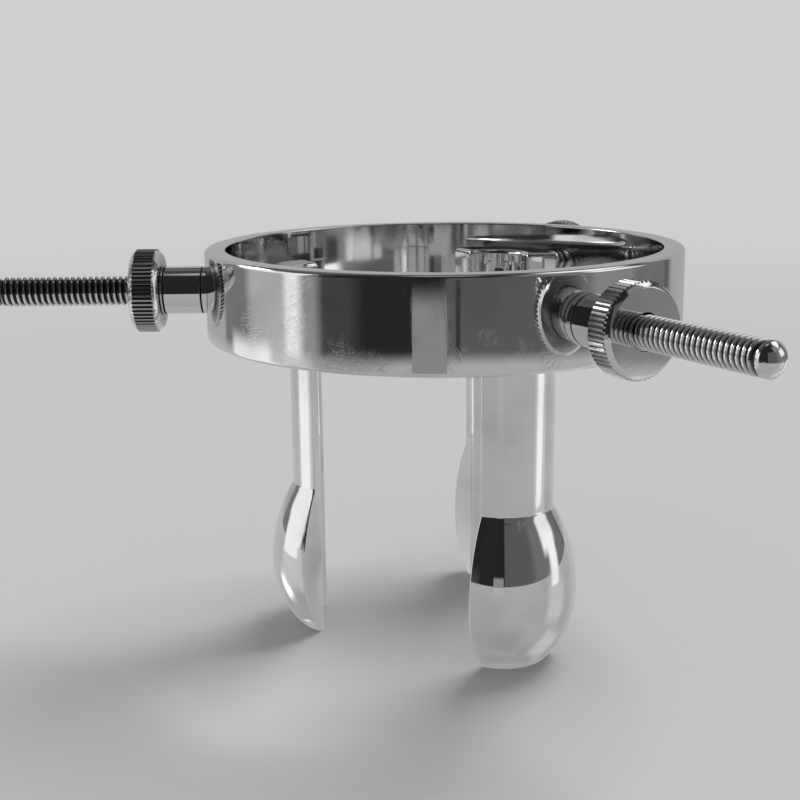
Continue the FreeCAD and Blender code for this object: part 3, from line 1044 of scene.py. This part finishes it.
# Upright soft-edged cards that only the steel sees: place, width, lowest and highest point, light, how much
# of the width is soft edge, how far the top leans sideways, and how much wider it is there
CARDS = {
    "left": ((-0.133, -0.006), 0.074, -0.16, -0.020, 1.05, 0.35, 0.0, 0.0),
    "right": ((0.1256, -0.042), 0.042, -0.16, -0.010, 1.10, 0.60, -0.018, 0.5),
    "front": ((-0.0464, -0.335), 0.088, -0.30, -0.031, 0.29, 0.06, 0.0, 0.0),
}

# How far from its middle to its top or bottom edge a card starts to fade, as a share
CARD_FADE_START = 0.90


def card_material(width, low, high, light, softness, lean, flare):
    """Glow that fades to nothing at the card's edges and lets the room show through."""
    material = bpy.data.materials.new("Soft card")
    material.use_nodes = True
    tree = material.node_tree
    tree.nodes.clear()
    nodes = tree.nodes
    split = nodes.new("ShaderNodeSeparateXYZ")
    link(tree, nodes.new("ShaderNodeTexCoord").outputs["Object"], split.inputs[0])
    half_height = (high - low) / 2
    above_middle = math_node(tree, "SUBTRACT", split.outputs["Z"], (low + high) / 2)
    rise = math_node(tree, "MULTIPLY", above_middle, 1 / half_height)
    across = math_node(tree, "MULTIPLY_ADD", rise, -lean, split.outputs["X"])
    half = math_node(tree, "MULTIPLY_ADD", rise, flare * width / 2, width / 2)
    side = math_node(tree, "DIVIDE", math_node(tree, "ABSOLUTE", across), half)
    cover = math_node(tree, "SUBTRACT", 1.0, soft_step(tree, side, 1.0 - softness, 1.0))
    ends = soft_step(tree, math_node(tree, "ABSOLUTE", rise), CARD_FADE_START, 1.0)
    cover = math_node(tree, "MULTIPLY", cover, math_node(tree, "SUBTRACT", 1.0, ends))
    glow = nodes.new("ShaderNodeEmission")
    glow.inputs["Strength"].default_value = light
    glow.inputs["Color"].default_value = (1.0, 1.0, 1.0, 1.0)
    clear = nodes.new("ShaderNodeBsdfTransparent")
    out = nodes.new("ShaderNodeOutputMaterial")
    link(tree, mix_shader(tree, cover, clear.outputs[0], glow.outputs[0]), out.inputs["Surface"])
    return material


def stand_card(name, spot, width, low, high, light, softness, lean, flare):
    """Stands one card facing the ring's axis."""
    half = width / 2 * (1 + flare) + abs(lean)
    corners = [(-half, 0.0, low), (half, 0.0, low), (half, 0.0, high), (-half, 0.0, high)]
    mesh = bpy.data.meshes.new(f"Card_{name}")
    mesh.from_pydata(corners, [], [(0, 1, 2, 3)])
    mesh.materials.append(card_material(width, low, high, light, softness, lean, flare))
    card = bpy.data.objects.new(f"Card_{name}", mesh)
    bpy.context.scene.collection.objects.link(card)
    card.location = (*spot, 0.0)
    card.rotation_euler = (0.0, 0.0, math.atan2(spot[1], spot[0]) - math.pi / 2)
    card.visible_camera = False
    card.visible_diffuse = False
    card.visible_shadow = False


class SPECULUM_OT_stage(bpy.types.Operator):
    """Set the floor, the soft light and the camera"""

    bl_idname = "speculum.stage"
    bl_label = "Stage"

    def execute(self, context):
        look = context.scene.speculum.stage
        blade = context.scene.speculum.blade
        reach = 3.0
        level = -blade.tip_drop
        spots = ((-reach, -reach), (reach, -reach), (reach, reach), (-reach, reach))
        mesh = bpy.data.meshes.new("Floor")
        mesh.from_pydata([(x, y, level) for x, y in spots], [], [(0, 1, 2, 3)])
        floor = bpy.data.objects.new("Floor", mesh)
        context.scene.collection.objects.link(floor)
        paint = floor_material(look.floor, look.floor_reach, look.floor_sheen, look.floor_seen)
        floor.data.materials.append(paint)

        light = bpy.data.lights.new("Soft sun", "SUN")
        light.energy = look.sun
        light.angle = look.sun_spread
        lamp = bpy.data.objects.new("Soft sun", light)
        context.scene.collection.objects.link(lamp)
        lamp.location = (0.25, 0.30, 0.55)
        lamp.rotation_euler = (-lamp.location).to_track_quat("-Z", "Y").to_euler()
        lamp.visible_glossy = False
        for name, card in CARDS.items():
            stand_card(name, *card)

        world = bpy.data.worlds.new("Studio")
        context.scene.world = world
        studio_world(world, look.floor, look.sky)

        eye = bpy.data.cameras.new("Camera")
        eye.sensor_width = 36.0
        eye.lens = look.lens
        eye.clip_start = 0.01
        camera = bpy.data.objects.new("Camera", eye)
        context.scene.collection.objects.link(camera)
        spot = Matrix.Translation(look.camera_place)
        tilt = Matrix.Rotation(math.pi / 2 - look.camera_dip, 4, "X")
        camera.matrix_world = spot @ tilt @ Matrix.Rotation(look.camera_roll, 4, "Z")
        context.scene.camera = camera
        context.scene.view_settings.view_transform = "Standard"
        return {"FINISHED"}


OPERATORS = (
    SPECULUM_OT_ring,
    SPECULUM_OT_guides,
    SPECULUM_OT_nuts,
    SPECULUM_OT_rods,
    SPECULUM_OT_heads,
    SPECULUM_OT_blades,
    SPECULUM_OT_stage,
)


class SPECULUM_PT_panel(bpy.types.Panel):
    """The speculum's steps, in order"""

    bl_idname = "SPECULUM_PT_panel"
    bl_label = "Ring speculum"
    bl_space_type = "VIEW_3D"
    bl_region_type = "UI"
    bl_category = "Speculum"

    def draw(self, context):
        for operator in OPERATORS:
            self.layout.operator(operator.bl_idname)


GROUPS = (RingSizes, DriveSizes, BladeSizes, SteelLook, StageLook, SpeculumSettings)


def register():
    """Adds the settings, the steps and the panel to Blender."""
    for item in GROUPS + OPERATORS + (SPECULUM_PT_panel,):
        bpy.utils.register_class(item)
    bpy.types.Scene.speculum = PointerProperty(type=SpeculumSettings)


def unregister():
    """Takes them away again."""
    del bpy.types.Scene.speculum
    for item in reversed(GROUPS + OPERATORS + (SPECULUM_PT_panel,)):
        bpy.utils.unregister_class(item)


def main():
    """Runs every step."""
    register()
    bpy.ops.speculum.ring()
    bpy.ops.speculum.guides()
    bpy.ops.speculum.nuts()
    bpy.ops.speculum.rods()
    bpy.ops.speculum.heads()
    bpy.ops.speculum.blades()
    bpy.ops.speculum.stage()


if __name__ == "__main__":
    main()
